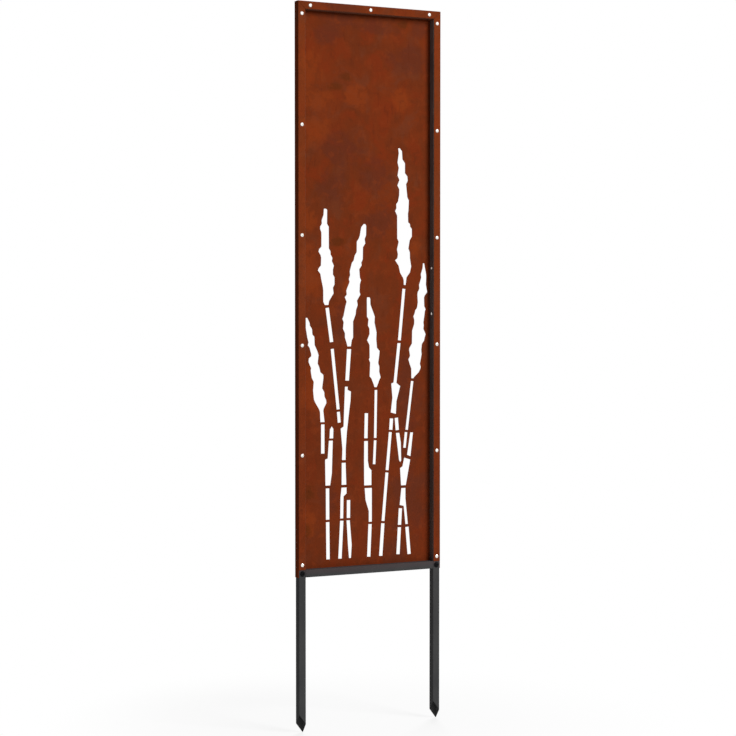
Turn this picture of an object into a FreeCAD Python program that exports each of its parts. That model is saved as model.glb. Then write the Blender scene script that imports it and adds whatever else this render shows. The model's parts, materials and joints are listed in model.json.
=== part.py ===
import FreeCAD, Part
import math
import os
from FreeCAD import Vector

# Garden privacy screen: a folded corten steel tray with reed cut-outs, pushed over a
# square tube frame whose two posts run on below the panel as pointed ground stakes.
# Millimetres. Origin under the middle of the bottom rail, +Z up, the front faces -Y.

# Overall sizes
screen_width = 400.0
panel_height = 1414.0
stake_length = 386.0

# Folded sheet tray
sheet_thickness = 1.0
bend_radius = 0.5
lip_width = 18.9
corner_slit = 0.5
frame_clearance = 0.2

# Square tube frame
tube_size = 19.0
tube_wall = 1.0
tube_corner_radius = 1.5
plug_clearance = 0.2
rail_end_clearance = 0.2
stake_point_height = 50.0

# Splice sleeves inside the posts
sleeve_length = 180.0
sleeve_wall = 1.2
splice_screw_offset = 58.0

# Corner connectors and rail tongues
connector_plug_length = 26.0
tongue_thickness = 6.0
tongue_insertion = 30.0
tongue_end_gap = 0.6

# Panel screws
side_screw_count = 6
top_screw_count = 3
side_screw_corner_offset = 31.0
top_screw_corner_offset = 33.0
screw_edge_offset = 10.2
panel_screw_head_diameter = 8.4
panel_screw_head_height = 2.4
panel_screw_rim = 0.8
panel_screw_diameter = 4.2
panel_screw_length = 13.0
panel_screw_tip = 4.0

# Splice screws
splice_screw_head_diameter = 7.0
splice_screw_head_height = 2.0
splice_screw_rim = 0.6
splice_screw_diameter = 3.5
splice_screw_length = 8.0
splice_screw_tip = 3.0

# Cross recess of the screws, as shares of the head
recess_reach_share = 0.46
recess_slot_share = 0.11
recess_depth_share = 0.55
screw_clearance = 0.2

# Corner bolts with washer and nut
bolt_diameter = 6.0
bolt_clearance = 0.4
bolt_flange_diameter = 13.6
bolt_flange_thickness = 1.0
bolt_button_diameter = 10.5
bolt_button_height = 2.6
bolt_button_top_diameter = 6.0
bolt_socket_width = 4.0
bolt_socket_depth = 2.2
bolt_end_past_nut = 1.5
bolt_end_chamfer = 0.6
washer_diameter = 12.0
washer_thickness = 1.6
nut_width = 10.0
nut_height = 5.0
nut_chamfer = 0.6
nut_clearance = 0.1

# Widths of the stalk slots, and the sheet that is left between two slots of one stalk
slim_slot = 7.5
middle_slot = 8.7
stout_slot = 9.8
slot_bridge = 6.0

# Room by which a cutting solid passes the faces it cuts
cut_margin = 1.0

X_AXIS = Vector(1, 0, 0)
Y_AXIS = Vector(0, 1, 0)
Z_AXIS = Vector(0, 0, 1)
SIDES = {"left": -1, "right": 1}

# Places that follow from the sizes
half_width = screen_width / 2
tray_depth = tube_size + 2 * frame_clearance + 2 * sheet_thickness
front_y = -tray_depth / 2
back_y = tray_depth / 2
sheet_front_y = back_y - sheet_thickness
post_x = half_width - sheet_thickness - frame_clearance - tube_size / 2
post_inner_x = post_x - tube_size / 2
frame_top = panel_height - sheet_thickness - frame_clearance
rail_top = tube_size
rail_middle = tube_size / 2
top_rail_bottom = frame_top - tube_size
splice_height = panel_height / 2
plug_size = tube_size - 2 * tube_wall - 2 * plug_clearance
plug_radius = max(tube_corner_radius - tube_wall - plug_clearance, 0)
field_width = 2 * (half_width - lip_width)
field_height = panel_height - lip_width - rail_top

# Seed heads: the left edge and the right edge of each ragged outline, both from tip to foot,
# across and up in percent of the clear field between the lips and the bottom rail.
SEED_HEAD_PERCENT = (
    (((3.0, 45.1), (3.0, 43.3), (4.2, 41.5), (5.1, 40.7), (4.5, 40.2), (5.9, 39.7), (7.1, 38.6),
      (7.1, 38.2), (5.3, 37.8), (5.1, 37.2), (6.0, 36.6), (7.0, 36.1), (6.7, 35.6), (7.5, 34.3),
      (9.0, 33.6), (8.5, 32.0), (9.1, 30.5), (9.8, 30.0), (13.1, 28.6), (13.7, 28.2), (14.1, 26.3)),
     ((4.2, 45.1), (6.0, 44.2), (6.2, 43.7), (7.8, 43.1), (8.1, 42.1), (9.6, 41.7), (9.8, 40.2),
      (11.7, 39.2), (12.8, 38.4), (12.1, 36.9), (13.3, 36.2), (14.2, 35.3), (16.4, 34.8), (16.5, 34.3),
      (15.5, 32.4), (17.1, 31.7), (17.3, 30.9), (18.6, 30.2), (18.7, 29.7), (16.6, 28.7), (16.4, 28.3),
      (17.3, 26.3))),
    (((16.8, 64.7), (16.5, 63.6), (15.1, 62.6), (15.2, 62.0), (14.0, 61.5), (13.9, 61.1), (14.9, 60.4),
      (14.9, 57.9), (13.1, 57.4), (12.7, 57.0), (14.2, 56.4), (14.7, 55.9), (14.5, 54.5), (12.8, 54.0),
      (12.2, 53.6), (14.1, 53.0), (14.8, 52.0), (16.0, 50.6), (16.3, 50.0), (16.3, 48.0), (17.4, 47.4)),
     ((18.6, 64.7), (19.4, 64.5), (19.3, 62.0), (20.6, 61.5), (20.7, 57.6), (21.9, 57.1), (22.0, 56.5),
      (23.4, 55.9), (23.0, 55.3), (24.5, 54.5), (23.8, 53.8), (23.8, 52.9), (25.0, 52.4), (25.0, 51.1),
      (23.8, 50.5), (24.3, 49.5), (20.8, 48.1), (20.3, 47.4))),
    (((47.4, 62.1), (45.5, 61.5), (44.4, 60.0), (43.7, 59.5), (42.1, 58.9), (42.0, 57.0), (40.5, 56.4),
      (39.7, 55.5), (38.2, 55.0), (36.6, 53.5), (36.9, 52.8), (35.9, 52.1), (36.5, 51.6), (34.7, 50.5),
      (34.0, 50.0), (34.3, 49.3), (32.8, 48.8), (34.2, 48.0), (33.3, 47.2), (31.8, 45.4), (30.9, 44.9),
      (31.9, 44.3), (31.4, 43.1), (32.9, 42.3), (32.9, 41.5), (34.2, 40.5), (34.8, 39.9)),
     ((48.8, 62.1), (49.5, 61.8), (49.4, 60.1), (48.3, 59.4), (48.8, 58.6), (47.0, 57.9), (46.8, 55.7),
      (45.7, 55.1), (46.0, 54.6), (44.1, 53.9), (44.6, 52.4), (45.5, 51.9), (44.6, 51.2), (44.3, 49.8),
      (45.0, 49.3), (42.3, 48.2), (42.9, 47.4), (41.6, 46.5), (41.3, 45.7), (39.3, 44.4), (39.3, 41.5),
      (38.3, 41.0), (37.6, 39.9))),
    (((50.1, 48.8), (49.9, 48.5), (50.0, 45.3), (51.2, 44.8), (50.7, 43.7), (51.9, 43.1), (52.0, 42.1),
      (50.1, 41.0), (52.0, 40.1), (52.1, 37.8), (51.5, 37.5), (52.5, 36.9), (52.1, 34.4), (53.5, 34.0),
      (55.4, 32.8), (55.9, 32.4)),
     ((52.1, 48.8), (52.7, 48.5), (52.8, 47.5), (56.2, 45.3), (56.0, 44.2), (57.6, 42.4), (57.4, 41.2),
      (57.9, 39.6), (60.0, 39.0), (59.8, 38.4), (58.9, 36.8), (59.8, 36.1), (59.7, 35.2), (60.8, 34.2),
      (59.6, 33.6), (58.9, 33.1), (57.7, 32.4))),
    (((74.5, 76.1), (75.0, 75.2), (74.0, 73.5), (75.0, 72.5), (74.0, 71.1), (75.5, 70.3), (73.9, 69.3),
      (75.4, 68.6), (75.3, 67.5), (74.3, 66.3), (73.0, 65.9), (73.1, 65.1), (72.1, 64.6), (73.7, 63.8),
      (73.8, 59.6), (74.9, 59.0), (73.6, 57.6), (74.3, 56.7), (73.9, 56.0), (72.1, 55.6), (74.9, 54.6),
      (76.1, 53.3), (78.4, 52.4), (78.9, 52.0), (79.0, 51.1)),
     ((76.0, 76.1), (77.6, 75.6), (78.0, 74.1), (80.0, 73.4), (80.0, 71.6), (81.9, 71.0), (82.2, 70.2),
      (80.9, 69.6), (81.9, 67.2), (83.1, 66.6), (82.8, 64.8), (82.4, 64.2), (82.6, 62.6), (84.0, 62.3),
      (84.2, 61.8), (85.5, 61.4), (85.5, 60.0), (83.8, 59.3), (82.8, 57.8), (83.9, 57.1), (84.0, 56.0),
      (85.0, 54.5), (84.0, 53.4), (81.3, 52.5), (80.6, 51.1))),
    (((94.3, 55.1), (94.0, 54.2), (92.6, 53.1), (92.9, 52.5), (91.2, 51.1), (91.4, 50.4), (90.0, 49.7),
      (89.9, 49.2), (90.2, 47.9), (89.6, 46.9), (88.1, 46.4), (87.7, 45.9), (86.7, 45.3), (87.4, 44.6),
      (87.3, 43.9), (85.7, 42.7), (85.5, 40.3), (83.5, 39.5), (83.3, 39.1), (84.0, 38.1), (83.6, 37.8),
      (82.7, 37.4), (83.8, 36.5), (85.0, 35.7), (85.1, 33.9)),
     ((95.4, 55.1), (97.0, 53.0), (97.0, 52.2), (96.8, 51.2), (97.8, 49.8), (95.7, 49.1), (95.3, 48.7),
      (95.5, 47.2), (96.6, 46.6), (96.0, 46.3), (95.5, 45.3), (94.8, 44.2), (95.1, 43.7), (94.8, 43.0),
      (96.6, 42.0), (95.8, 41.4), (95.3, 40.8), (93.6, 40.2), (93.1, 39.1), (93.4, 38.3), (92.0, 36.5),
      (92.7, 36.0), (92.5, 35.7), (91.1, 35.0), (87.3, 34.1), (86.9, 33.9))),
)

# Straight stalks: the knots of each from top to bottom, across and up in percent of the clear
# field. A slot runs between two knots, and a bridge of sheet is left at each knot.
SLIM_STALK_PERCENT = (
    ((57.1, 32.1), (56.5, 22.9), (55.6, 18.1)),
    ((85.9, 33.6), (81.3, 24.2)),
    ((81.0, 24.2), (79.6, 20.9)),
)
MIDDLE_STALK_PERCENT = (
    ((23.1, 39.7), (27.8, 28.3), (28.6, 25.9)),
    ((79.2, 50.6), (75.5, 40.7)),
    ((68.5, 24.3), (65.8, 16.9), (62.6, 7.6)),
)
STOUT_STALK_PERCENT = (
    ((15.9, 26.1), (15.9, 20.4)),
    ((19.5, 14.5), (19.6, 8.4), (19.9, 1.2)),
    ((19.2, 47.1), (22.8, 40.5)),
    ((30.5, 8.5), (29.0, 1.2)),
    ((35.7, 12.2), (35.6, 8.5)),
    ((49.6, 27.9), (49.2, 22.9)),
    ((52.5, 7.6), (51.4, 1.2)),
    ((69.4, 26.8), (68.7, 24.3)),
    ((62.6, 7.6), (60.8, 1.2)),
    ((73.1, 26.9), (74.0, 24.2)),
    ((76.5, 10.2), (75.7, 6.7), (74.5, 1.3)),
    ((81.6, 6.7), (83.5, 1.2)),
)

# Forks and crossings of the stalks: outline corners, across and up in percent of the clear field.
STALK_FORK_PERCENT = (
    ((22.7, 25.5), (24.1, 25.0), (23.9, 23.3), (21.0, 23.3), (21.3, 24.9)),
    ((20.5, 22.9), (23.6, 22.9), (22.9, 17.0), (21.6, 14.8), (17.9, 14.8), (17.6, 19.5), (19.6, 19.7)),
    ((34.5, 39.4), (37.8, 39.4), (36.1, 33.7), (33.2, 33.7)),
    ((32.9, 32.6), (35.1, 32.6), (35.1, 32.0), (37.6, 31.7), (37.3, 30.0), (36.4, 28.4), (34.5, 24.4),
     (33.6, 21.3), (33.5, 19.3), (30.6, 19.3), (30.9, 21.3), (29.6, 25.0), (31.8, 25.4), (32.1, 27.5)),
    ((30.4, 18.8), (33.5, 18.8), (34.0, 14.8), (30.3, 14.8)),
    ((30.2, 14.3), (34.2, 14.3), (34.2, 13.2), (31.9, 12.7), (31.6, 8.7), (29.2, 8.7), (29.4, 12.5)),
    ((34.1, 8.3), (36.7, 8.3), (38.2, 3.8), (37.6, 1.4), (36.0, 1.4), (35.2, 3.7)),
    ((47.8, 22.6), (50.8, 22.6), (50.8, 19.0), (51.6, 17.8), (53.6, 17.2), (53.6, 14.5), (47.8, 14.5),
     (47.7, 19.0)),
    ((48.2, 14.0), (53.9, 14.0), (53.9, 7.8), (51.4, 7.8), (51.4, 9.8), (48.9, 11.8)),
    ((74.0, 40.4), (76.5, 40.4), (73.3, 33.1), (76.3, 32.5), (73.3, 29.7), (72.9, 27.4), (68.7, 27.7),
     (70.0, 30.4), (69.1, 33.0), (70.9, 33.2)),
    ((72.8, 23.9), (75.6, 23.9), (76.8, 22.1), (77.1, 18.8), (76.2, 18.5), (75.3, 18.9)),
    ((84.2, 23.9), (86.5, 23.9), (84.5, 19.5), (81.7, 19.8)),
    ((79.4, 19.3), (84.3, 18.9), (80.8, 14.2), (76.9, 14.2), (76.1, 17.4), (78.0, 17.7)),
    ((77.1, 13.7), (80.5, 13.7), (80.5, 11.8), (82.4, 7.0), (80.4, 7.0), (79.0, 10.4), (75.8, 10.6)),
)


def rounded_box(low, high, radius, axis):
    """Box between two corners, with its four edges along one axis rounded."""
    box = Part.makeBox(high.x - low.x, high.y - low.y, high.z - low.z, low)
    if radius <= 0:
        return box
    along = [e for e in box.Edges if abs(e.tangentAt(e.FirstParameter).dot(axis)) > 0.99]
    return box.makeFillet(radius, along)


def square_bar(start, length, axis, size, radius):
    """Square bar that runs from a point on its centre line along one axis."""
    across = (Vector(1, 1, 1) - axis) * (size / 2)
    return rounded_box(start - across, start + across + axis * length, radius, axis)


def square_tube(start, length, axis, size, wall, radius):
    """Square bar with a square bore right through."""
    outer = square_bar(start, length, axis, size, radius)
    bore_start = start - axis * cut_margin
    bore = square_bar(bore_start, length + 2 * cut_margin, axis, size - 2 * wall, max(radius - wall, 0))
    return outer.cut(bore)


def prism(corners, direction):
    """Solid swept from a closed outline."""
    outline = Part.makePolygon(corners + corners[:1])
    return Part.Face(outline).extrude(direction)


def turned(edges):
    """Solid turned about the Z axis from the edges of half its section."""
    return Part.Face(Part.Wire(edges)).revolve(Vector(0, 0, 0), Z_AXIS, 360)


def hexagon(width, height):
    """Hexagonal prism on the Z axis, as wide across its flats as asked."""
    reach = width / math.sqrt(3)
    angles = [math.radians(60 * k) for k in range(6)]
    corners = [Vector(reach * math.cos(a), reach * math.sin(a), 0) for a in angles]
    return prism(corners, Z_AXIS * height)


def placed(shape, position, facing):
    """Copy of a piece built on the Z axis, moved so that its +Z end faces another way."""
    copy = shape.copy()
    copy.Placement = FreeCAD.Placement(position, FreeCAD.Rotation(Z_AXIS, facing))
    return copy


def line_chain(points):
    """Straight edges through a list of radius and height pairs."""
    corners = [Vector(r, 0, z) for r, z in points]
    return [Part.makeLine(a, b) for a, b in zip(corners, corners[1:])]


def dome_edge(radius, rim, height, top_radius=0):
    """Arc from the rim of a domed head to its top, about a centre on the Z axis."""
    centre = (radius ** 2 + rim ** 2 - top_radius ** 2 - height ** 2) / (2 * (rim - height))
    reach = math.hypot(radius, rim - centre)
    angle = (math.atan2(rim - centre, radius) + math.atan2(height - centre, top_radius)) / 2
    middle = Vector(reach * math.cos(angle), 0, centre + reach * math.sin(angle))
    return Part.Arc(Vector(radius, 0, rim), middle, Vector(top_radius, 0, height)).toShape()


def pan_screw(head_diameter, head_height, rim, diameter, length, tip):
    """Pan head screw with a cross recess, seated at the origin with its head towards +Z."""
    head_radius = head_diameter / 2
    shank_radius = diameter / 2
    below = line_chain([(0, head_height), (0, -length), (shank_radius, tip - length),
                        (shank_radius, 0), (head_radius, 0), (head_radius, rim)])
    body = turned(below + [dome_edge(head_radius, rim, head_height)])
    reach = head_diameter * recess_reach_share
    slot = head_diameter * recess_slot_share
    depth = head_height * recess_depth_share
    floor = head_height - depth
    arms = [Part.makeBox(reach, slot, depth + cut_margin, Vector(-reach / 2, -slot / 2, floor)),
            Part.makeBox(slot, reach, depth + cut_margin, Vector(-slot / 2, -reach / 2, floor))]
    return body.cut(arms)


def corner_bolt_piece(length):
    """Flanged button bolt with a hexagon socket, seated at the origin with its head towards +Z."""
    shank = bolt_diameter / 2
    button = bolt_button_diameter / 2
    top = bolt_button_top_diameter / 2
    height = bolt_flange_thickness + bolt_button_height
    flange = bolt_flange_diameter / 2
    lower = line_chain([(top, height), (0, height), (0, -length), (shank - bolt_end_chamfer, -length),
                        (shank, bolt_end_chamfer - length), (shank, 0), (flange, 0),
                        (flange, bolt_flange_thickness), (button, bolt_flange_thickness)])
    body = turned(lower + [dome_edge(button, bolt_flange_thickness, height, top)])
    socket = hexagon(bolt_socket_width, bolt_socket_depth + cut_margin)
    socket.translate(Z_AXIS * (height - bolt_socket_depth))
    return body.cut(socket)


def nut_piece():
    """Hexagon nut with its corners turned off at both ends, standing on the origin."""
    corner = nut_width / math.sqrt(3)
    flat = nut_width / 2
    drop = nut_chamfer
    turned_blank = turned(line_chain([(0, 0), (flat, 0), (corner, drop), (corner, nut_height - drop),
                                      (flat, nut_height), (0, nut_height), (0, 0)]))
    bore = Part.makeCylinder(bolt_diameter / 2 + nut_clearance, nut_height + 2 * cut_margin,
                             -Z_AXIS * cut_margin)
    return hexagon(nut_width, nut_height).common(turned_blank).cut(bore)


def washer_piece():
    """Flat washer, standing on the origin."""
    disc = Part.makeCylinder(washer_diameter / 2, washer_thickness)
    bore = Part.makeCylinder((bolt_diameter + bolt_clearance) / 2, washer_thickness + 2 * cut_margin,
                             -Z_AXIS * cut_margin)
    return disc.cut(bore)


def spread(first, last, count):
    """Evenly spaced values from first to last."""
    return [first + (last - first) * k / (count - 1) for k in range(count)]


def field_point(across, up):
    """Point on the front of the sheet, from percent of the clear field."""
    return Vector(field_width * (across / 100 - 0.5), sheet_front_y, rail_top + field_height * up / 100)


def cut_out(corners):
    """Solid that cuts one closed outline through the sheet."""
    start = [c - Y_AXIS * cut_margin for c in corners]
    return prism(start, Y_AXIS * (sheet_thickness + 2 * cut_margin))


def outline_cut(percents):
    """Cutting solid of an outline given in percent of the clear field."""
    return cut_out([field_point(across, up) for across, up in percents])


def stalk(slot_width, knots):
    """Cutting solids of one straight stalk, with a bridge left at each knot."""
    points = [field_point(across, up) for across, up in knots]
    slots = []
    for upper, lower in zip(points, points[1:]):
        along = (lower - upper).normalize()
        side = along.cross(Y_AXIS) * (slot_width / 2)
        top = upper + along * (slot_bridge / 2)
        bottom = lower - along * (slot_bridge / 2)
        slots.append(cut_out([top - side, top + side, bottom + side, bottom - side]))
    return slots


def reed_pattern():
    """All cutting solids of the reeds."""
    tools = [outline_cut(left + right[::-1]) for left, right in SEED_HEAD_PERCENT]
    kinds = (
        (slim_slot, SLIM_STALK_PERCENT),
        (middle_slot, MIDDLE_STALK_PERCENT),
        (stout_slot, STOUT_STALK_PERCENT),
    )
    for slot_width, stalks in kinds:
        for knots in stalks:
            tools += stalk(slot_width, knots)
    return tools + [outline_cut(corners) for corners in STALK_FORK_PERCENT]


# Seats of the panel screws on the front of the lips
side_screw_heights = spread(panel_height - side_screw_corner_offset, side_screw_corner_offset,
                            side_screw_count)
top_screw_reach = half_width - top_screw_corner_offset
screw_seats = {
    "top": [Vector(x, front_y, panel_height - screw_edge_offset)
            for x in spread(-top_screw_reach, top_screw_reach, top_screw_count)],
}
for side, sign in SIDES.items():
    screw_seats[side] = [Vector(sign * (half_width - screw_edge_offset), front_y, z)
                         for z in side_screw_heights]

# Holes that all pieces behind a screw or bolt are drilled with
screw_hole_radius = (panel_screw_diameter + screw_clearance) / 2
panel_screw_holes = [
    Part.makeCylinder(screw_hole_radius, panel_screw_length + 2 * cut_margin,
                      seat - Y_AXIS * cut_margin, Y_AXIS)
    for seats in screw_seats.values() for seat in seats
]
bolt_hole_radius = (bolt_diameter + bolt_clearance) / 2
bolt_holes = {
    side: Part.makeCylinder(bolt_hole_radius, tray_depth + 2 * cut_margin,
                            Vector(sign * post_x, front_y - cut_margin, rail_middle), Y_AXIS)
    for side, sign in SIDES.items()
}


def splice_seats(sign):
    """Seats of the splice screws on the inner face of one post."""
    offsets = (splice_screw_offset, -splice_screw_offset)
    return [Vector(sign * post_inner_x, 0, splice_height + dz) for dz in offsets]


def splice_holes(sign):
    """Holes of the splice screws in one post and its sleeve."""
    radius = (splice_screw_diameter + screw_clearance) / 2
    length = splice_screw_length + 2 * cut_margin
    facing = X_AXIS * sign
    return [Part.makeCylinder(radius, length, seat - facing * cut_margin, facing)
            for seat in splice_seats(sign)]


def tray_block(inset, radius):
    """Block of the tray's outline, set in by a wall, with the edges of the folds rounded."""
    half = half_width - inset
    top = panel_height - inset
    bottom = -inset
    depth = tray_depth / 2 - inset
    upright = rounded_box(Vector(-half, -depth, bottom), Vector(half, depth, top), radius, Z_AXIS)
    below = bottom - tray_depth
    lying = rounded_box(Vector(-half, -depth, below), Vector(half, depth, top), radius, X_AXIS)
    return upright.common(lying)


def corner_slit_tool(sign):
    """Thin slab that parts the top fold from a side fold along the mitre of their lips."""
    length = (lip_width + cut_margin) * math.sqrt(2)
    depth = sheet_front_y - bend_radius - front_y
    slab = Part.makeBox(length + cut_margin, depth + cut_margin, corner_slit,
                        Vector(-cut_margin, front_y - cut_margin, -corner_slit / 2))
    slab.rotate(Vector(0, 0, 0), Y_AXIS, 45 if sign < 0 else 135)
    slab.translate(Vector(sign * half_width, 0, panel_height))
    return slab


def corten_panel():
    """Folded tray: sheet with the reeds, walls on three sides, and lips turned in at the front."""
    tray = tray_block(0, bend_radius + sheet_thickness).cut(tray_block(sheet_thickness, bend_radius))
    window_half = half_width - lip_width
    fold_depth = sheet_thickness + bend_radius
    window = Part.makeBox(2 * window_half, fold_depth + cut_margin, panel_height - lip_width + cut_margin,
                          Vector(-window_half, front_y - cut_margin, -cut_margin))
    lip_ends = Part.makeBox(screen_width, fold_depth + cut_margin, rail_top + cut_margin,
                            Vector(-half_width, front_y - cut_margin, -cut_margin))
    slits = [corner_slit_tool(sign) for sign in SIDES.values()]
    tools = [window, lip_ends] + slits + panel_screw_holes + list(bolt_holes.values()) + reed_pattern()
    return tray.cut(tools)


def upper_post(sign):
    """Upper half of a post, from the splice to the corner connector."""
    length = top_rail_bottom - splice_height
    post = square_tube(Vector(sign * post_x, 0, splice_height), length, Z_AXIS,
                       tube_size, tube_wall, tube_corner_radius)
    return post.cut(panel_screw_holes + splice_holes(sign))


def stake_point_tool(sign):
    """Wedge that cuts a post's foot to a point at its back right edge."""
    diagonal = Vector(-1, -1, 0).normalize()
    across = Vector(1, -1, 0).normalize()
    run = tube_size * math.sqrt(2)
    edge_inset = tube_corner_radius * (math.sqrt(2) - 1)
    tip = Vector(sign * post_x + tube_size / 2, tube_size / 2, -stake_length)
    tip = tip + diagonal * edge_inset - across * tube_size
    high = tip + diagonal * (2 * run) + Z_AXIS * (2 * stake_point_height)
    low = tip + diagonal * (2 * run) - Z_AXIS * cut_margin
    return prism([tip, high, low], across * (2 * tube_size))


def tongue_slot(sign):
    """Slot in a post's inner wall for the rail's tongue."""
    width = tongue_thickness + 2 * plug_clearance
    height = plug_size + 2 * plug_clearance
    depth = tube_wall + 2 * cut_margin
    low_x = sign * (post_inner_x + tube_wall / 2) - depth / 2
    return Part.makeBox(depth, width, height, Vector(low_x, -width / 2, rail_middle - height / 2))


def stake_post(sign, side):
    """Lower half of a post, which runs on below the panel as a pointed stake."""
    post = square_tube(Vector(sign * post_x, 0, -stake_length), stake_length + splice_height, Z_AXIS,
                       tube_size, tube_wall, tube_corner_radius)
    tools = [stake_point_tool(sign), tongue_slot(sign), bolt_holes[side]]
    return post.cut(tools + panel_screw_holes + splice_holes(sign))


def top_rail():
    """Rail behind the top lip, between the corner connectors."""
    rail = square_tube(Vector(-post_inner_x, 0, frame_top - tube_size / 2), 2 * post_inner_x, X_AXIS,
                       tube_size, tube_wall, tube_corner_radius)
    return rail.cut(panel_screw_holes)


def bottom_rail():
    """Rail between the posts at the foot of the panel."""
    reach = post_inner_x - rail_end_clearance
    return square_tube(Vector(-reach, 0, rail_middle), 2 * reach, X_AXIS,
                       tube_size, tube_wall, tube_corner_radius)


def splice_sleeve(sign):
    """Sleeve inside a post that joins its two halves."""
    sleeve = square_tube(Vector(sign * post_x, 0, splice_height - sleeve_length / 2), sleeve_length, Z_AXIS,
                         plug_size, sleeve_wall, plug_radius)
    return sleeve.cut(panel_screw_holes + splice_holes(sign))


def corner_connector(sign):
    """Corner block with one plug down into the post and one across into the top rail."""
    middle = frame_top - tube_size / 2
    upright = square_bar(Vector(sign * post_x, 0, top_rail_bottom), tube_size, Z_AXIS,
                         tube_size, tube_corner_radius)
    lying = square_bar(Vector(sign * post_x - tube_size / 2, 0, middle), tube_size, X_AXIS,
                       tube_size, tube_corner_radius)
    down_plug = square_bar(Vector(sign * post_x, 0, top_rail_bottom - connector_plug_length),
                           connector_plug_length, Z_AXIS, plug_size, plug_radius)
    plug_low = min(sign * post_inner_x, sign * (post_inner_x - connector_plug_length))
    rail_plug = square_bar(Vector(plug_low, 0, middle), connector_plug_length, X_AXIS,
                           plug_size, plug_radius)
    block = upright.common(lying).fuse([down_plug, rail_plug]).removeSplitter()
    return block.cut(panel_screw_holes)


def rail_tongue(sign, side):
    """Flat bar fixed in the end of the bottom rail, which the corner bolt locks in the post."""
    inner_end = post_inner_x - rail_end_clearance - tongue_insertion
    outer_end = post_x + tube_size / 2 - tube_wall - tongue_end_gap
    low_x = min(sign * inner_end, sign * outer_end)
    low = Vector(low_x, -tongue_thickness / 2, rail_middle - plug_size / 2)
    return Part.makeBox(outer_end - inner_end, tongue_thickness, plug_size, low).cut(bolt_holes[side])


def panel_screws(side):
    """Screws that hold one lip to the frame."""
    screw = pan_screw(panel_screw_head_diameter, panel_screw_head_height, panel_screw_rim,
                      panel_screw_diameter, panel_screw_length, panel_screw_tip)
    return Part.makeCompound([placed(screw, seat, -Y_AXIS) for seat in screw_seats[side]])


def splice_screws(sign):
    """Screws that hold a sleeve in both halves of its post."""
    screw = pan_screw(splice_screw_head_diameter, splice_screw_head_height, splice_screw_rim,
                      splice_screw_diameter, splice_screw_length, splice_screw_tip)
    return Part.makeCompound([placed(screw, seat, X_AXIS * -sign) for seat in splice_seats(sign)])


def corner_bolt(sign):
    """Bolt through the post, the tongue and the sheet."""
    seat_y = -tube_size / 2
    length = back_y + washer_thickness + nut_height + bolt_end_past_nut - seat_y
    return placed(corner_bolt_piece(length), Vector(sign * post_x, seat_y, rail_middle), -Y_AXIS)


def corner_washer(sign):
    """Washer of a corner bolt, behind the sheet."""
    return placed(washer_piece(), Vector(sign * post_x, back_y, rail_middle), Y_AXIS)


def corner_nut(sign):
    """Nut of a corner bolt, behind its washer."""
    return placed(nut_piece(), Vector(sign * post_x, back_y + washer_thickness, rail_middle), Y_AXIS)


parts = {
    "corten_panel": corten_panel(),
    "top_rail": top_rail(),
    "bottom_rail": bottom_rail(),
    "top_panel_screws": panel_screws("top"),
}
for side, sign in SIDES.items():
    parts[side + "_upper_post"] = upper_post(sign)
    parts[side + "_stake_post"] = stake_post(sign, side)
    parts[side + "_splice_sleeve"] = splice_sleeve(sign)
    parts[side + "_corner_connector"] = corner_connector(sign)
    parts[side + "_rail_tongue"] = rail_tongue(sign, side)
    parts[side + "_panel_screws"] = panel_screws(side)
    parts[side + "_splice_screws"] = splice_screws(sign)
    parts[side + "_corner_bolt"] = corner_bolt(sign)
    parts[side + "_corner_washer"] = corner_washer(sign)
    parts[side + "_corner_nut"] = corner_nut(sign)

os.makedirs("parts", exist_ok=True)
for node, shape in parts.items():
    shape.exportStep("parts/" + node + ".step")
    print(node, len(shape.Solids), "solids", round(shape.Volume, 1), "mm3", "valid", shape.isValid())
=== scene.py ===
import json
import math

import bpy
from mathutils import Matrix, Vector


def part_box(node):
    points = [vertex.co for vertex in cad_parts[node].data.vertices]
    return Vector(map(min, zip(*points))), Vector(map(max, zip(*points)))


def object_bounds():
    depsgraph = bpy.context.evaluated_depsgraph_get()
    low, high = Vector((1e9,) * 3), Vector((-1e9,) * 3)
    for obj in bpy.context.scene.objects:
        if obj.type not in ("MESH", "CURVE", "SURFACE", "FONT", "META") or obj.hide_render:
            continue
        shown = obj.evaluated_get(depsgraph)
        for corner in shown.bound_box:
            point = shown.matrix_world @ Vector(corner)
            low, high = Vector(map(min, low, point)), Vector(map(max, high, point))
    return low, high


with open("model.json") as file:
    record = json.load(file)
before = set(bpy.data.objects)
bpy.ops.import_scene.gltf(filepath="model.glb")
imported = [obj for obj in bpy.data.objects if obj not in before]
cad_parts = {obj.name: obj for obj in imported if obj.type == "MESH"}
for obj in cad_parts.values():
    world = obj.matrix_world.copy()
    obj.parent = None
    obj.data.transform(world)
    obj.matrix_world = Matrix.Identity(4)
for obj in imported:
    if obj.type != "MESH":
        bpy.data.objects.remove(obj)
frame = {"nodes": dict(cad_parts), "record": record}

cad_low, cad_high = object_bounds()


def colour(red, green, blue):
    """A linear colour from 8-bit screen values."""
    def linear(value):
        part = value / 255
        return part / 12.92 if part <= 0.04045 else ((part + 0.055) / 1.055) ** 2.4

    return (linear(red), linear(green), linear(blue), 1.0)


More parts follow.
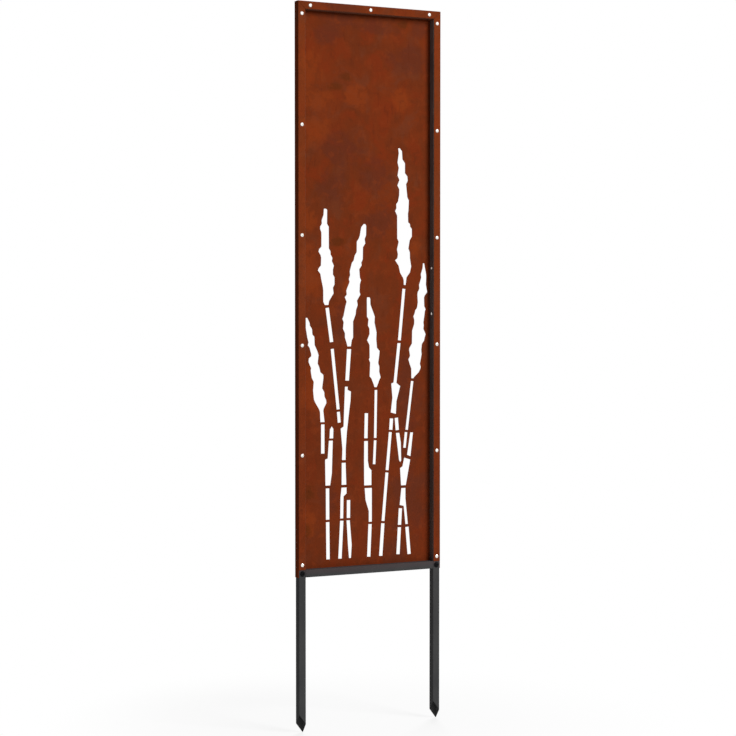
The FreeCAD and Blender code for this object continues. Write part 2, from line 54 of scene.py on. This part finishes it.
# Places between which a finish changes, in metres.
panel_low, panel_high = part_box("corten_panel")
top_rail_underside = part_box("top_rail")[0].z
bottom_rail_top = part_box("bottom_rail")[1].z
OUTER_WALLS = (panel_high.x - 0.0020, panel_high.x - 0.0005)
LIPS = (panel_low.y + 0.0019, panel_low.y + 0.0006)
TOP_LIP = (panel_high.z - 0.026, panel_high.z - 0.017)
# Above these heights the top rail is painted brown like the shaded sheet under the lip: painted
# shade.
TOP_RAIL = (top_rail_underside - 0.0038, top_rail_underside - 0.0008)
RAIL_FILM = (bottom_rail_top - 0.017, bottom_rail_top - 0.004)
# Inside the tray, above these heights, the frame is painted lighter in warm patches: painted
# light.
INSIDE_TRAY = (bottom_rail_top, bottom_rail_top + 0.026)
# Between these heights up the posts that painted light turns from the darker tone to the lighter
# one.
POST_HEIGHT = (0.1, 1.35)
# From the first height up to the second the side lips grow lighter: rubbed wear and painted light.
RUBBED_AND_LIT_HEIGHT = (0.1, 1.1)
# From the first height down to the second the sheet is painted darker and calmer: painted shade.
PAINTED_LOW_SHADE = (0.8, 0.4)
# From the first height down to the ground the outer walls darken: damp weathering and painted
# shade.
DAMP_AND_SHADED_FOOT = (1.1, 0.0)

# Stains on the sheet: across, up, half width and half height, in metres.
GREY_STAINS = (
    (-0.105, 1.345, 0.045, 0.050),
    (-0.080, 1.385, 0.080, 0.020),
    (0.125, 1.290, 0.075, 0.055),
    (0.010, 1.365, 0.110, 0.025),
    (-0.090, 1.408, 0.080, 0.014),
    (-0.075, 1.055, 0.075, 0.055),
    (-0.100, 0.970, 0.050, 0.060),
    (0.020, 0.995, 0.065, 0.055),
    (0.040, 0.885, 0.060, 0.050),
    (0.150, 1.365, 0.030, 0.030),
    (-0.055, 0.640, 0.045, 0.080),
    (0.115, 0.450, 0.055, 0.130),
    (0.115, 0.295, 0.050, 0.050),
    (-0.105, 0.195, 0.036, 0.055),
    (0.120, 0.180, 0.080, 0.110),
    (0.070, 0.055, 0.060, 0.040),
)
ORANGE_STAINS = (
    (-0.165, 1.250, 0.045, 0.060),
    (-0.140, 1.170, 0.060, 0.040),
    (-0.150, 1.110, 0.050, 0.055),
    (-0.025, 1.190, 0.055, 0.040),
    (0.095, 1.185, 0.035, 0.040),
    (-0.165, 0.880, 0.030, 0.050),
    (0.140, 0.820, 0.025, 0.040),
    (-0.160, 0.760, 0.035, 0.080),
    (-0.055, 0.715, 0.028, 0.032),
    (-0.150, 0.450, 0.050, 0.090),
    (-0.165, 0.140, 0.024, 0.060),
)
DARK_STAINS = (
    (-0.062, 1.236, 0.030, 0.013),
    (-0.088, 1.212, 0.024, 0.013),
    (-0.080, 0.828, 0.034, 0.013),
    (-0.165, 0.210, 0.024, 0.030),
    (-0.172, 0.110, 0.016, 0.022),
    (0.100, 1.375, 0.020, 0.012),
)
# A stain fades out at this many half widths, and its torn edge lies between these levels.
STAIN_REACH = 1.5
STAIN_EDGE = (0.6, 1.25)

# Tones of the weathered steel, and of the shade and light painted on it.
RUST = {
    "brown": colour(106, 46, 21),
    "warm brown": colour(116, 48, 20),
    "ashen": colour(106, 54, 33),
    "red": colour(123, 45, 18),
    # Painted shade: the sheet's darker tone low down.
    "painted low shade": colour(103, 42, 20),
    # Damp weathering and painted shade on the outer walls near the ground.
    "damp and shaded foot": colour(80, 28, 9),
    "grey stain": colour(93, 44, 29),
    "orange stain": colour(136, 57, 21),
    "dark stain": colour(84, 41, 14),
    "dark mottle": colour(94, 42, 20),
    "light mottle": colour(129, 55, 25),
    "dark run": colour(88, 37, 18),
    "light run": colour(130, 55, 24),
    # Rubbed wear and painted light on the lips.
    "rubbed and lit": colour(136, 64, 29),
    "dark grain": colour(76, 30, 15),
    "light grain": colour(144, 66, 31),
}

# Tones of the black coat and of a stain on it, with painted light inside the tray and painted
# shade on the top rail.
COAT = {
    "dark": colour(60, 60, 61),
    "light": colour(66, 66, 66),
    "peel": colour(77, 77, 77),
    "film": colour(88, 66, 68),
    # Painted light: warm light inside the tray, darker low down and lighter high up.
    "painted light low": colour(97, 81, 75),
    "painted light high": colour(117, 101, 95),
    # Painted shade: the top rail in the colour of the shaded sheet under the lip.
    "top rail": colour(106, 63, 45),
}

# Linear tones of the small parts, the dark one and the light one.
STEEL = ((0.42, 0.43, 0.45, 1), (0.62, 0.63, 0.65, 1))
PLASTIC = ((0.022, 0.022, 0.023, 1), (0.036, 0.036, 0.037, 1))
ZINC = ((0.86, 0.85, 0.8, 1), (0.96, 0.95, 0.9, 1))
OXIDE = ((0.003, 0.003, 0.004, 1), (0.007, 0.007, 0.008, 1))
# The colour of the painted shade in the screws' cross recesses.
RECESS_SHADE = (0.16, 0.15, 0.14, 1)

# Most of a noise's values lie between these.
NOISE_SPREAD = (0.3, 0.7)
# The depth of a fine relief, in metres.
FINE_RELIEF = 0.0002
# Painted shade in recesses grows between these open shares of the view, out to a reach in metres.
RECESS_SHADE_OPEN = (0.8, 0.4)
RECESS_SHADE_REACH = 0.0012

# The colour sockets of a mix node, which has others for numbers and vectors.
MIX_FIRST = 6
MIX_SECOND = 7
MIX_RESULT = 2


class Finish:
    """A procedural material, with short calls for the nodes it is made of."""

    def __init__(self, name, **sockets):
        self.material = bpy.data.materials.new(name)
        self.material.use_nodes = True
        self.tree = self.material.node_tree
        self.shader = self.tree.nodes["Principled BSDF"]
        self.place = self.add("ShaderNodeTexCoord").outputs["Object"]
        for socket, value in sockets.items():
            self.shader.inputs[socket.replace("_", " ")].default_value = value

    def add(self, kind, **settings):
        node = self.tree.nodes.new(kind)
        for setting, value in settings.items():
            setattr(node, setting, value)
        return node

    def put(self, value, socket):
        """Links an output to a socket, or sets a plain value on it."""
        if isinstance(value, bpy.types.NodeSocket):
            self.tree.links.new(value, socket)
        else:
            socket.default_value = value

    def use(self, socket, value):
        """Gives the shader a value."""
        self.put(value, self.shader.inputs[socket])

    def along(self, axis):
        """The place on the part along one axis."""
        node = self.add("ShaderNodeSeparateXYZ")
        self.put(self.place, node.inputs[0])
        return node.outputs[axis]

    def stretched(self, x, y, z):
        """The place on the part, drawn out along its axes."""
        node = self.add("ShaderNodeMapping")
        self.put(self.place, node.inputs["Vector"])
        node.inputs["Scale"].default_value = (x, y, z)
        return node.outputs["Vector"]

    def noise(self, scale, detail, rough, place=None, warp=0.0):
        node = self.add("ShaderNodeTexNoise")
        self.put(place or self.place, node.inputs["Vector"])
        node.inputs["Scale"].default_value = scale
        node.inputs["Detail"].default_value = detail
        node.inputs["Roughness"].default_value = rough
        node.inputs["Distortion"].default_value = warp
        return node.outputs["Fac"]

    def span(self, value, low, high, to_low=0.0, to_high=1.0):
        """Takes low..high to to_low..to_high, with soft ends."""
        node = self.add("ShaderNodeMapRange", interpolation_type="SMOOTHSTEP")
        self.put(value, node.inputs["Value"])
        node.inputs["From Min"].default_value = low
        node.inputs["From Max"].default_value = high
        node.inputs["To Min"].default_value = to_low
        node.inputs["To Max"].default_value = to_high
        return node.outputs["Result"]

    def math(self, operation, first, second):
        node = self.add("ShaderNodeMath", operation=operation)
        self.put(first, node.inputs[0])
        self.put(second, node.inputs[1])
        return node.outputs[0]

    def vector(self, operation, first, second):
        node = self.add("ShaderNodeVectorMath", operation=operation)
        self.put(first, node.inputs[0])
        self.put(second, node.inputs[1])
        return node.outputs[0]

    def length(self, vector):
        node = self.add("ShaderNodeVectorMath", operation="LENGTH")
        self.put(vector, node.inputs[0])
        return node.outputs["Value"]

    def mix(self, share, first, second):
        node = self.add("ShaderNodeMix", data_type="RGBA")
        self.put(share, node.inputs[0])
        self.put(first, node.inputs[MIX_FIRST])
        self.put(second, node.inputs[MIX_SECOND])
        return node.outputs[MIX_RESULT]

    def bump(self, height, strength, depth, under=None):
        node = self.add("ShaderNodeBump")
        self.put(height, node.inputs["Height"])
        node.inputs["Strength"].default_value = strength
        node.inputs["Distance"].default_value = depth
        if under:
            self.put(under, node.inputs["Normal"])
        return node.outputs["Normal"]

    def patches(self, stains, ragged, share):
        """The share in upright ovals whose edges are torn by a noise, and 0 outside."""
        inside = 0.0
        for across, up, half_width, half_height in stains:
            offset = self.vector("SUBTRACT", self.place, (across, 0.0, up))
            scaled = self.vector("MULTIPLY", offset, (1 / half_width, 0.0, 1 / half_height))
            oval = self.span(self.length(scaled), 0.0, STAIN_REACH, 1.0, 0.0)
            inside = self.math("MAXIMUM", oval, inside)
        torn = self.span(self.math("ADD", inside, ragged), *STAIN_EDGE)
        return self.math("MULTIPLY", torn, share)

    def wear(self, noise, smooth, rough, relief):
        """Roughness and a slight relief, both from one noise."""
        self.use("Roughness", self.span(noise, *NOISE_SPREAD, smooth, rough))
        self.use("Normal", self.bump(noise, relief, FINE_RELIEF))


def corten():
    """Weathered steel: mottled and stained, with painted shade towards the bottom, damp walls that
    also carry painted shade near the ground, faint runs, rubbed lips that also carry painted
    light, and grain.
    """
    made = Finish("corten", Specular_IOR_Level=0.02)
    up = made.along("Z")
    mirrored = made.stretched(1.0, -1.0, 0.85)
    upright = made.stretched(80.0, 80.0, 22.0)
    clouds = made.noise(scale=9.0, detail=5.0, rough=0.6, warp=0.4)
    tint = made.noise(scale=15.0, detail=5.0, rough=0.62, place=mirrored, warp=0.6)
    shreds = made.noise(scale=24.0, detail=6.0, rough=0.64, warp=0.3)
    mottle = made.noise(scale=42.0, detail=4.0, rough=0.6, warp=0.5)
    pits = made.noise(scale=170.0, detail=4.0, rough=0.6)
    runs = made.noise(scale=1.0, detail=3.0, rough=0.6, place=upright)
    grain = made.noise(scale=620.0, detail=3.0, rough=0.7)

    ragged = made.span(shreds, *NOISE_SPREAD, 0.0, 0.7)
    walls = made.span(made.math("ABSOLUTE", made.along("X"), 0.0), *OUTER_WALLS)
    lips = made.span(made.along("Y"), *LIPS)
    side_lips = made.math("MULTIPLY", lips, made.span(up, *TOP_LIP, 1.0, 0.2))

    # Each layer's tone and its share, from the lowest to the uppermost.
    layers = (
        ("ashen", made.span(tint, 0.5, 0.64, 0.0, 0.6)),
        ("red", made.span(tint, 0.36, 0.5, 0.6, 0.0)),
        # Painted shade: darker and calmer towards the bottom.
        ("painted low shade", made.span(up, *PAINTED_LOW_SHADE, 0.0, 0.4)),
        # Outer walls darker towards the ground: damp weathering and painted shade.
        ("damp and shaded foot", made.math("MULTIPLY", walls, made.span(up, *DAMP_AND_SHADED_FOOT, 0.0, 0.5))),
        ("grey stain", made.patches(GREY_STAINS, ragged, share=0.65)),
        ("orange stain", made.patches(ORANGE_STAINS, ragged, share=0.6)),
        ("dark stain", made.patches(DARK_STAINS, ragged, share=0.6)),
        ("dark mottle", made.span(mottle, 0.54, 0.68, 0.0, 0.4)),
        ("light mottle", made.span(mottle, 0.32, 0.46, 0.4, 0.0)),
        ("dark run", made.span(runs, 0.58, 0.72, 0.0, 0.4)),
        ("light run", made.span(runs, 0.28, 0.42, 0.25, 0.0)),
        # Lips lighter, more so higher up: rubbed wear and painted light.
        ("rubbed and lit", made.math("MULTIPLY", side_lips, made.span(up, *RUBBED_AND_LIT_HEIGHT, 0.04, 0.3))),
        ("dark grain", made.span(grain, 0.3, 0.5, 0.45, 0.0)),
        ("light grain", made.span(grain, 0.5, 0.7, 0.0, 0.3)),
    )
    tone = made.mix(made.span(clouds, 0.38, 0.62), RUST["brown"], RUST["warm brown"])
    for name, share in layers:
        tone = made.mix(share, tone, RUST[name])
    made.use("Base Color", tone)
    made.use("Roughness", made.span(grain, *NOISE_SPREAD, 0.8, 0.95))
    pitted = made.bump(pits, strength=0.25, depth=0.0006)
    made.use("Normal", made.bump(grain, strength=0.35, depth=0.0003, under=pitted))
    return made.material


def frame_coat():
    """Black powder coat on steel tube, with patchy warm painted light inside the tray and the top
    rail painted brown as shade.
    """
    made = Finish("frame_coat", Specular_IOR_Level=0.01)
    up = made.along("Z")
    soft = made.noise(scale=9.0, detail=3.0, rough=0.6)
    peel = made.noise(scale=900.0, detail=2.0, rough=0.5)
    light_noise = made.noise(scale=45.0, detail=5.0, rough=0.65, place=made.stretched(1.0, 1.0, 0.3))

    tone = made.mix(made.span(soft, 0.35, 0.65), COAT["dark"], COAT["light"])
    tone = made.mix(made.span(peel, 0.55, 0.75, 0.0, 0.3), tone, COAT["peel"])
    tone = made.mix(made.span(up, *RAIL_FILM, 0.0, 0.24), tone, COAT["film"])
    # Patchy warm painted light inside the tray, lighter higher up the posts.
    painted_light_share = made.span(light_noise, *NOISE_SPREAD, 0.45, 0.95)
    painted_light_share = made.math("MULTIPLY", made.span(up, *INSIDE_TRAY), painted_light_share)
    painted_light_tone = made.mix(made.span(up, *POST_HEIGHT), COAT["painted light low"], COAT["painted light high"])
    tone = made.mix(painted_light_share, tone, painted_light_tone)
    # Painted shade: the top rail turned brown like the shaded sheet under the lip.
    tone = made.mix(made.span(up, *TOP_RAIL, 0.0, 0.95), tone, COAT["top rail"])
    made.use("Base Color", tone)
    made.use("Roughness", made.span(soft, *NOISE_SPREAD, 0.5, 0.64))
    made.use("Normal", made.bump(peel, 0.25, FINE_RELIEF))
    return made.material


def sleeve_steel():
    """Plain drawn steel tube."""
    made = Finish("sleeve_steel", Metallic=1.0)
    lines = made.stretched(900.0, 900.0, 12.0)
    drawn = made.noise(scale=1.0, detail=4.0, rough=0.7, place=lines)
    made.use("Base Color", made.mix(drawn, *STEEL))
    made.wear(drawn, smooth=0.32, rough=0.5, relief=0.1)
    return made.material


def connector_plastic():
    """Moulded black plastic."""
    made = Finish("connector_plastic", Specular_IOR_Level=0.4)
    grain = made.noise(scale=700.0, detail=2.0, rough=0.6)
    made.use("Base Color", made.mix(grain, *PLASTIC))
    made.wear(grain, smooth=0.5, rough=0.62, relief=0.2)
    return made.material


def bright_zinc():
    """Bright zinc on screws, with painted shade in their cross recesses."""
    made = Finish("bright_zinc", Metallic=1.0)
    cloud = made.noise(scale=260.0, detail=3.0, rough=0.6)
    hollow = made.add("ShaderNodeAmbientOcclusion", only_local=True)
    hollow.inputs["Distance"].default_value = RECESS_SHADE_REACH
    # Painted shade in the cross recesses, darker where a point sees less of the open view.
    recess_shade = made.span(hollow.outputs["AO"], *RECESS_SHADE_OPEN, 0.0, 0.75)
    made.use("Base Color", made.mix(recess_shade, made.mix(cloud, *ZINC), RECESS_SHADE))
    made.wear(cloud, smooth=0.2, rough=0.34, relief=0.05)
    return made.material


def black_oxide():
    """Oiled black oxide on bolts, washers and nuts."""
    made = Finish("black_oxide", Specular_IOR_Level=0.06)
    cloud = made.noise(scale=320.0, detail=3.0, rough=0.6)
    made.use("Base Color", made.mix(cloud, *OXIDE))
    made.wear(cloud, smooth=0.4, rough=0.55, relief=0.08)
    return made.material


# Each node takes the finish of its material slot in the record.
FINISHES = {
    "corten": corten(),
    "frame_coat": frame_coat(),
    "sleeve_steel": sleeve_steel(),
    "connector_plastic": connector_plastic(),
    "bright_zinc": bright_zinc(),
    "black_oxide": black_oxide(),
}
for piece in frame["record"]["subparts"]:
    slots = frame["nodes"][piece["node"]].data.materials
    slots.clear()
    slots.append(FINISHES[piece["material_slot"]])

# The photograph's camera, about level with the middle of the panel and to its left.
LENS_MM = 95.593
SENSOR_MM = 36.0
FRAME_SHIFT = -0.0065
CAMERA_PLACE = (-2.2677, -4.3313, 0.6657)
TILT_DOWN_DEGREES = 1.6407
TURN_DEGREES = -27.6115

eye = bpy.data.cameras.new("camera")
eye.lens = LENS_MM
eye.sensor_width = SENSOR_MM
eye.shift_y = FRAME_SHIFT
camera = bpy.data.objects.new("camera", eye)
camera.location = CAMERA_PLACE
camera.rotation_euler = (
    math.radians(90 - TILT_DOWN_DEGREES),
    0.0,
    math.radians(TURN_DEGREES),
)
bpy.context.scene.collection.objects.link(camera)
bpy.context.scene.camera = camera

# Two soft lamps, in front on the right and behind on the right.
LAMP_AIM = (0.0, 0.0, 0.6)


def soft_box(name, place, width, height, watts):
    """A large soft lamp that faces the screen."""
    lamp = bpy.data.lights.new(name, "AREA")
    lamp.shape = "RECTANGLE"
    lamp.size = width
    lamp.size_y = height
    lamp.energy = watts
    made = bpy.data.objects.new(name, lamp)
    made.location = place
    across, away, rise = (aim - start for aim, start in zip(LAMP_AIM, place))
    tilt = math.atan2(math.hypot(across, away), -rise)
    made.rotation_euler = (tilt, 0.0, math.atan2(-across, away))
    bpy.context.scene.collection.objects.link(made)


soft_box("key", place=(2.4, -4.6, 3.6), width=2.6, height=3.4, watts=345.0)
soft_box("back", place=(2.6, 3.6, 3.2), width=2.4, height=2.4, watts=230.0)


def combined(tree, operation, first, second):
    """One output from two, by a maths node."""
    node = tree.nodes.new("ShaderNodeMath")
    node.operation = operation
    tree.links.new(first, node.inputs[0])
    tree.links.new(second, node.inputs[1])
    return node.outputs[0]


def white_when_seen(tree, lit, white, share=None):
    """Mixes a lit shader with plain white, for what the camera and mirrors see."""
    path = tree.nodes.new("ShaderNodeLightPath")
    seen = path.outputs["Is Camera Ray"]
    for kind in ("Is Glossy Ray", "Is Transmission Ray"):
        seen = combined(tree, "MAXIMUM", seen, path.outputs[kind])
    if share:
        seen = combined(tree, "MULTIPLY", seen, share)
    mixed = tree.nodes.new("ShaderNodeMixShader")
    tree.links.new(seen, mixed.inputs[0])
    tree.links.new(lit, mixed.inputs[1])
    tree.links.new(white, mixed.inputs[2])
    return mixed.outputs[0]


# White surroundings that give a weak even light.
WHITE = (1.0, 1.0, 1.0, 1.0)
AMBIENT_STRENGTH = 0.18

world = bpy.data.worlds.new("studio")
bpy.context.scene.world = world
world.use_nodes = True
sky = world.node_tree
ambient = sky.nodes["Background"]
ambient.inputs["Color"].default_value = WHITE
ambient.inputs["Strength"].default_value = AMBIENT_STRENGTH
blank = sky.nodes.new("ShaderNodeBackground")
blank.inputs["Color"].default_value = WHITE
blank.inputs["Strength"].default_value = 1.0
sky.links.new(
    white_when_seen(sky, ambient.outputs[0], blank.outputs[0]),
    sky.nodes["World Output"].inputs["Surface"],
)

# A pale floor under the stake points that fades into the white round it, in metres.
FLOOR_RADIUS = 2.2
FLOOR_SIDES = 96
FLOOR_COLOUR = (0.78, 0.78, 0.78, 1.0)
FADE_START = 0.45
FADE_END = 0.95
WHITE_SHARE_NEAR = 0.8
WHITE_SHARE_FAR = 1.0

turns = [side * math.tau / FLOOR_SIDES for side in range(FLOOR_SIDES)]
rim = [
    (FLOOR_RADIUS * math.cos(turn), FLOOR_RADIUS * math.sin(turn), cad_low.z)
    for turn in turns
]
floor_mesh = bpy.data.meshes.new("floor")
floor_mesh.from_pydata(rim, [], [tuple(range(FLOOR_SIDES))])
floor = bpy.data.objects.new("floor", floor_mesh)
bpy.context.scene.collection.objects.link(floor)

ground = bpy.data.materials.new("floor")
ground.use_nodes = True
ground_tree = ground.node_tree
ground_tree.nodes.remove(ground_tree.nodes["Principled BSDF"])
matte = ground_tree.nodes.new("ShaderNodeBsdfDiffuse")
matte.inputs["Color"].default_value = FLOOR_COLOUR
glow = ground_tree.nodes.new("ShaderNodeEmission")
glow.inputs["Strength"].default_value = 1.0
spot = ground_tree.nodes.new("ShaderNodeTexCoord")
reach = ground_tree.nodes.new("ShaderNodeVectorMath")
reach.operation = "LENGTH"
ground_tree.links.new(spot.outputs["Object"], reach.inputs[0])
fade = ground_tree.nodes.new("ShaderNodeMapRange")
fade.interpolation_type = "SMOOTHSTEP"
ground_tree.links.new(reach.outputs["Value"], fade.inputs["Value"])
fade.inputs["From Min"].default_value = FADE_START
fade.inputs["From Max"].default_value = FADE_END
fade.inputs["To Min"].default_value = WHITE_SHARE_NEAR
fade.inputs["To Max"].default_value = WHITE_SHARE_FAR
ground_tree.links.new(
    white_when_seen(ground_tree, matte.outputs[0], glow.outputs[0], fade.outputs["Result"]),
    ground_tree.nodes["Material Output"].inputs["Surface"],
)
floor_mesh.materials.append(ground)

bpy.context.scene.view_settings.view_transform = "Standard"
